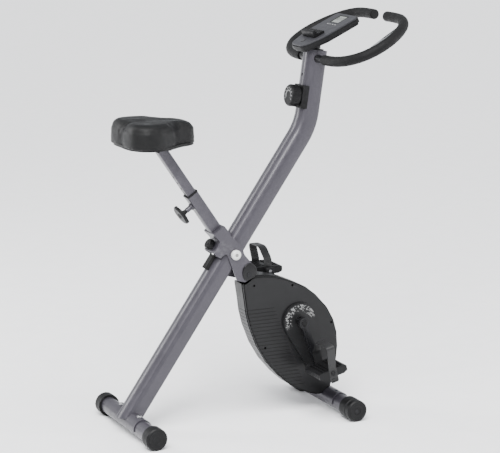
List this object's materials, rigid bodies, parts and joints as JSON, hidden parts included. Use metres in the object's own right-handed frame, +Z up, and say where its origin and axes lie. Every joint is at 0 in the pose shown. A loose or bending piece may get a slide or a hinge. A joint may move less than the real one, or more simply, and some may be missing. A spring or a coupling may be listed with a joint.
{
  "type": "exercise bike",
  "caption": "Upright folding exercise bike: crossed frames, height-adjusting saddle, housed crank and flywheel, strapped pedals, looped handlebar with console.",
  "frame": {"origin": "middle of the bounding box at floor level", "axes": "+X the way the rider faces, +Y the rider's left, +Z up"},
  "size_m": [0.824, 0.4748, 1.1294],
  "materials": {
    "frame_paint": "satin metallic grey paint",
    "dark_metal": "satin black paint",
    "foot_plastic": "matt",
    "steel": "zinc plated",
    "cap_white": "smooth",
    "black_plastic": "fine grain",
    "housing": "satin",
    "crank_paint": "satin",
    "pedal_plastic": "matt",
    "strap_rubber": "matt",
    "stop_rubber": "matt",
    "grip_foam": "matt foam",
    "pulse_chrome": "polished",
    "saddle_cover": "grained imitation leather",
    "console_grey": "satin",
    "console_light": "satin",
    "display": "clear window"
  },
  "bodies": {
    "main_frame": {"main_tube": "frame_paint", "rear_foot_tube": "frame_paint", "rear_foot_cap_right": "foot_plastic", "rear_foot_cap_left": "foot_plastic", "rear_foot_bolt_right": "steel", "rear_foot_bolt_left": "steel", "fold_stop": "stop_rubber", "handlebar": "dark_metal", "grip_right": "grip_foam", "grip_left": "grip_foam", "bar_plug_right": "black_plastic", "bar_plug_left": "black_plastic", "pulse_plate_right": "pulse_chrome", "pulse_plate_left": "pulse_chrome", "console_neck": "black_plastic", "console_case": "black_plastic", "console_face": "console_grey", "console_lcd": "display", "phone_ledge": "black_plastic", "knob_base": "black_plastic"},
    "front_frame": {"pivot_bracket": "frame_paint", "pivot_bolt": "steel", "pivot_cap_right": "cap_white", "pivot_cap_left": "cap_white", "seat_tube": "frame_paint", "seat_liner": "black_plastic", "leg_frame": "dark_metal", "lug_bolt": "dark_metal", "front_cradle": "frame_paint", "front_foot_tube": "frame_paint", "front_foot_cap_right": "foot_plastic", "front_foot_cap_left": "foot_plastic", "cover_right": "housing", "cover_left": "housing", "bearing_right": "steel", "bearing_left": "steel", "drive_belt": "stop_rubber"},
    "saddle_post": {"seat_post": "frame_paint", "saddle_clamp": "dark_metal", "saddle_pan": "black_plastic", "saddle_pad": "saddle_cover"},
    "height_pin": {"height_pin": "black_plastic"},
    "lock_pin": {"lock_pin": "black_plastic"},
    "crank_set": {"crank_axle": "steel", "crank_right": "crank_paint", "crank_left": "crank_paint", "belt_pulley": "black_plastic", "spindle_right": "steel", "spindle_left": "steel"},
    "pedal_right": {"pedal_right": "pedal_plastic", "strap_right": "strap_rubber"},
    "pedal_left": {"pedal_left": "pedal_plastic", "strap_left": "strap_rubber"},
    "flywheel": {"flywheel": "steel", "fly_axle": "steel"},
    "magnet_shoe": {"magnet_shoe": "steel"},
    "tension_knob": {"tension_knob": "black_plastic"},
    "console_key": {"console_key": "console_light"},
    "wheel_right": {"wheel_right": "foot_plastic"},
    "wheel_left": {"wheel_left": "foot_plastic"}
  },
  "joints": [
    {"name": "fold", "type": "hinge", "parent": "main_frame", "child": "front_frame", "pos_m": [-0.0688, 0, 0.4767], "axis": [0, 1, 0], "range_deg": [0, 30]},
    {"name": "saddle_height", "type": "slide", "parent": "front_frame", "child": "saddle_post", "axis": [-0.5635, 0, 0.8261], "range_m": [-0.04, 0.02]},
    {"name": "height_pin_pull", "type": "slide", "parent": "front_frame", "child": "height_pin", "axis": [-0.8261, 0, -0.5635], "range_m": [0, 0.008], "stiffness_N_per_m": 1500, "springref_m": -0.006},
    {"name": "lock_pin_pull", "type": "slide", "parent": "front_frame", "child": "lock_pin", "axis": [-0.8221, 0, 0.5693], "range_m": [0, 0.008], "stiffness_N_per_m": 1500, "springref_m": -0.006},
    {"name": "crank_spin", "type": "hinge", "parent": "front_frame", "child": "crank_set", "pos_m": [0.1284, 0, 0.2684], "axis": [0, 1, 0], "continuous": true},
    {"name": "pedal_right_spin", "type": "hinge", "parent": "crank_set", "child": "pedal_right", "pos_m": [0.174, -0.115, 0.1403], "axis": [0, 1, 0], "continuous": true},
    {"name": "pedal_left_spin", "type": "hinge", "parent": "crank_set", "child": "pedal_left", "pos_m": [0.0828, 0.115, 0.3965], "axis": [0, 1, 0], "continuous": true},
    {"name": "flywheel_spin", "type": "hinge", "parent": "front_frame", "child": "flywheel", "pos_m": [0.1365, 0, 0.1718], "axis": [0, 1, 0], "continuous": true},
    {"name": "knob_turn", "type": "hinge", "parent": "main_frame", "child": "tension_knob", "pos_m": [0.1696, 0, 0.8977], "axis": [-0.9895, 0, 0.1444], "range_deg": [0, 300]},
    {"name": "shoe_swing", "type": "hinge", "parent": "front_frame", "child": "magnet_shoe", "pos_m": [0.062, 0, 0.2148], "axis": [0, 1, 0], "range_deg": [-2, 0]},
    {"name": "key_press", "type": "slide", "parent": "main_frame", "child": "console_key", "axis": [0.4289, 0, -0.9033], "range_m": [0, 0.0015], "stiffness_N_per_m": 300, "springref_m": -0.001},
    {"name": "wheel_right_spin", "type": "hinge", "parent": "front_frame", "child": "wheel_right", "pos_m": [0.233, -0.184, 0.031], "axis": [0, 1, 0], "continuous": true},
    {"name": "wheel_left_spin", "type": "hinge", "parent": "front_frame", "child": "wheel_left", "pos_m": [0.233, 0.184, 0.031], "axis": [0, 1, 0], "continuous": true}
  ],
  "couplings": [
    {"joint": "flywheel_spin", "follows": "crank_spin", "ratio": 6.5454},
    {"joint": "shoe_swing", "follows": "knob_turn", "ratio": -0.006667}
  ]
}
